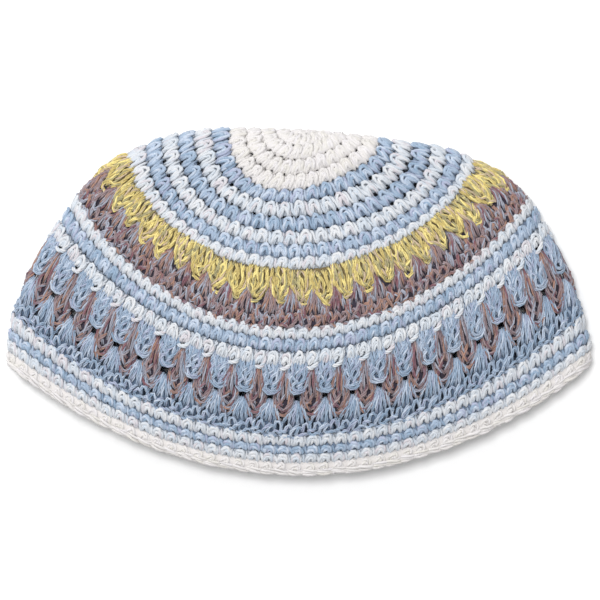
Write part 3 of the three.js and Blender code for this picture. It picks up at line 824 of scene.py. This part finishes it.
lowerCluster = [
    {"path": [(0, 0.05, -1.1), (0, 0.35, -0.9), (0, 0.65, -0.8), (0, 0.98, -0.9)],
     "shadeLeaf": [0.9, 2.4, 4.0, 4.6], "thick": 0.6},
    {"path": [(-0.08, 0.02, 0.0), (-0.20, 0.16, 0.9), (-0.32, 0.36, 1.0), (-0.44, 0.60, 0.3)]},
    {"path": [(-0.04, 0.0, 0.2), (-0.12, 0.18, 1.2), (-0.18, 0.38, 1.4), (-0.24, 0.64, 0.6)]},
    {"path": [(-0.01, 0.0, 0.3), (-0.04, 0.20, 1.5), (-0.05, 0.42, 1.6), (-0.06, 0.68, 0.7)]},
    {"path": [(0.02, 0.0, 0.3), (0.05, 0.20, 1.4), (0.08, 0.40, 1.5), (0.10, 0.62, 0.8)]},
    {"path": [(0.05, 0.0, 0.2), (0.14, 0.18, 1.1), (0.22, 0.38, 1.2), (0.27, 0.64, 0.5)]},
    {"path": [(0.09, 0.04, 0.0), (0.24, 0.20, 0.9), (0.36, 0.40, 1.0), (0.46, 0.58, 0.3)]},
    {"path": [(-0.50, 0.84, 0.0), (-0.44, 0.64, 0.9), (-0.34, 0.56, 1.2), (-0.24, 0.68, 1.2),
              (-0.24, 0.88, 0.3)]},
    {"path": [(-0.28, 0.80, 0.2), (-0.16, 0.68, 1.3), (-0.04, 0.76, 1.5), (0.04, 0.94, 0.3)]},
    {"path": [(-0.12, 0.60, 0.6), (0.02, 0.70, 1.6), (0.14, 0.82, 1.4), (0.18, 0.98, 0.3)]},
    {"path": [(0.10, 0.86, 0.2), (0.18, 0.66, 1.2), (0.30, 0.60, 1.4), (0.38, 0.74, 1.1),
              (0.36, 0.94, 0.2)]},
    {"path": [(-0.44, 0.92, 0.3), (-0.30, 0.86, 1.2), (-0.12, 0.92, 1.2), (0.02, 0.88, 0.4)]},
    {"path": [(0.30, 0.78, 0.5), (0.42, 0.82, 1.3), (0.54, 0.80, 1.1), (0.62, 0.90, 0.2)]},
    {"path": [(0.10, 0.96, 0.2), (0.26, 0.90, 1.1), (0.42, 0.96, 1.1), (0.56, 0.90, 0.2)]},
    {"path": [(-0.34, 1.00, 0.1), (-0.18, 0.97, 0.9), (0.02, 1.0, 0.9), (0.16, 0.96, 0.2)]},
    {"path": [(0.46, 0.56, 0.2), (0.52, 0.68, 0.8), (0.50, 0.82, 0.8), (0.56, 0.94, 0.2)]},
]


def makeOpenwork():
    count = openworkPlan["count"]
    yarn = newYarn()
    for rounds, halfWidth in openworkPlan["whiteCores"]:
        # the cores are drawn fully in painted shade
        layCore(yarn, rounds, halfWidth, lift=openworkPlan["coreLift"], paintedShade=1)
    start = openworkPlan["phase"]
    workRound(yarn, count, start, *openworkPlan["white"], shortWhiteStitch)
    workRound(yarn, count, start + 0.5, *openworkPlan["white"], dippedWhiteStitch)
    finishPiece("white_dip_round", yarn, "white_yarn")
    plan = (
        ("blue_cluster_round_upper", start, "upper", upperCluster, "blue_yarn"),
        ("russet_cluster_round", start + 0.5, "russet", russetCluster, "russet_yarn"),
        ("blue_cluster_round_lower", start, "lower", lowerCluster, "blue_yarn"),
    )
    for node, phase, band, stitch, slot in plan:
        yarn = newYarn()
        workRound(yarn, count, phase, *openworkPlan[band], stitch,
                  jitter=openworkPlan["clusterJitter"], usual=fineStrand)
        finishPiece(node, yarn, slot)


makeOpenwork()
print("openwork worked")


rimPlan = {
    "count": 92,
    "whiteUpper": (24, 25),
    "blue": (25, 26),
    "whiteLower": (26, 27),
    "drift": 0.12,            # how far each round starts along from the last, in stitches
    "coreLifts": (-1.4, -0.7, -0.7),    # of these three rounds
    "border": (27, 28.3),
    "borderPhase": 0.3,
    "borderCores": ((27.45, 2.6, 1.1), (27.92, 1.3, 1.2)),    # round, half width and half height
    # share of painted shade in the border's cores
    "borderPaintedShade": 0.6,
}
borderStitch = [
    {"path": [(-0.26, 0.56, 0.6), (-0.27, 0.35, 1.0), (-0.14, 0.13, 1.0), (0.06, 0.12, 1.0),
              (0.24, 0.33, 1.0), (0.30, 0.56, 0.6)],
     "ply": 0.56, "spread": 0.45, "turns": 1.2, "samples": 9, "sides": 5},
    {"path": [(-0.12, 0.55, 0.7), (-0.06, 0.37, 1.1), (0.06, 0.35, 1.1), (0.14, 0.55, 0.7)],
     "ply": 0.56, "spread": 0.4},
    {"path": [(-0.66, 0.58, 0.3), (-0.25, 0.64, 1.0), (0.25, 0.62, 1.0), (0.66, 0.66, 0.3)],
     "ply": 0.66, "spread": 0.5, "turns": 0.5},
    {"path": [(-0.66, 0.86, 0.1), (-0.2, 0.83, 0.7), (0.2, 0.84, 0.7), (0.66, 0.80, 0.1)],
     "ply": 0.66, "spread": 0.5, "turns": 0.5},
    {"path": [(-0.5, 0.65, -1.0), (0, 0.58, -1.3), (0.5, 0.65, -1.0)],
     "plies": 1, "ply": 0.9, "samples": 4},
    {"path": [(-0.16, 0.76, 0.6), (-0.08, 0.91, 0.6), (0.04, 0.94, -0.4), (0.12, 0.84, -1.1),
              (0.18, 0.62, -1.4)],
     "plies": 1, "ply": 0.62},
    {"path": [(0.28, 0.78, 0.5), (0.34, 0.92, 0.4), (0.44, 0.93, -0.5), (0.54, 0.82, -1.1),
              (0.62, 0.60, -1.4)],
     "plies": 1, "ply": 0.62},
]


def makeRim():
    rows = (
        ("white_rim_round_upper", "whiteUpper", "white_yarn"),
        ("blue_rim_round", "blue", "blue_yarn"),
        ("white_rim_round_lower", "whiteLower", "white_yarn"),
    )
    for step, (node, band, slot) in enumerate(rows):
        yarn = newYarn()
        blockRound(yarn, rimPlan["count"], rimPlan["drift"] * step, *rimPlan[band],
                   lift=rimPlan["coreLifts"][step])
        finishPiece(node, yarn, slot)
    yarn = newYarn()
    for rounds, halfWidth, halfHeight in rimPlan["borderCores"]:
        layCore(yarn, rounds, halfWidth, lift=0, paintedShade=rimPlan["borderPaintedShade"], halfHeight=halfHeight)
    workRound(yarn, rimPlan["count"], rimPlan["borderPhase"], *rimPlan["border"], borderStitch)
    finishPiece("rim_border", yarn, "warm_white_yarn")


makeRim()
print("rim worked")


studio = {
    "floorSize": 4.0,
    "floorColor": (0.92, 0.92, 0.92),
    "floorRoughness": 0.9,
    "cameraHeight": 2.0,
    "framedWidth": 0.246,     # width of the photograph at the height of the cap
    "framedCentre": (0.0004, 0.0006),
    "sensor": 36.0,
    "skyStrength": 0.56,
    "lamps": (
        ("softKey", 22.0, 0.45, (-0.15, 0.26, 1.8)),
        ("softRake", 11.0, 0.7, (-0.9, 1.2, 0.9)),
    ),                        # name, energy, size and place
}


def makeStudio():
    floor = bmesh.new()
    bmesh.ops.create_grid(floor, x_segments=1, y_segments=1, size=studio["floorSize"] / 2)
    mesh = bpy.data.meshes.new("floor")
    floor.to_mesh(mesh)
    floor.free()
    material = bpy.data.materials.new("palePaper")
    material.use_nodes = True
    shader = material.node_tree.nodes["Principled BSDF"]
    shader.inputs["Base Color"].default_value = (*studio["floorColor"], 1)
    shader.inputs["Roughness"].default_value = studio["floorRoughness"]
    mesh.materials.append(material)
    piece = bpy.data.objects.new("floor", mesh)
    bpy.context.collection.objects.link(piece)

    world = bpy.data.worlds.new("studio")
    world.use_nodes = True
    sky = world.node_tree.nodes["Background"]
    sky.inputs["Color"].default_value = (1, 1, 1, 1)
    sky.inputs["Strength"].default_value = studio["skyStrength"]
    bpy.context.scene.world = world

    for name, energy, size, place in studio["lamps"]:
        lamp = bpy.data.lights.new(name, "AREA")
        lamp.energy = energy
        lamp.size = size
        light = bpy.data.objects.new(name, lamp)
        light.location = place
        light.rotation_euler = light.location.to_track_quat("Z", "Y").to_euler()
        bpy.context.collection.objects.link(light)

    lens = bpy.data.cameras.new("overhead")
    lens.sensor_width = studio["sensor"]
    lens.lens = studio["sensor"] * studio["cameraHeight"] / studio["framedWidth"]
    lens.clip_end = 20
    camera = bpy.data.objects.new("overhead", lens)
    camera.location = (*studio["framedCentre"], studio["cameraHeight"])
    bpy.context.collection.objects.link(camera)
    bpy.context.scene.camera = camera
    bpy.context.scene.view_settings.view_transform = "Standard"


makeStudio()
print("studio set")
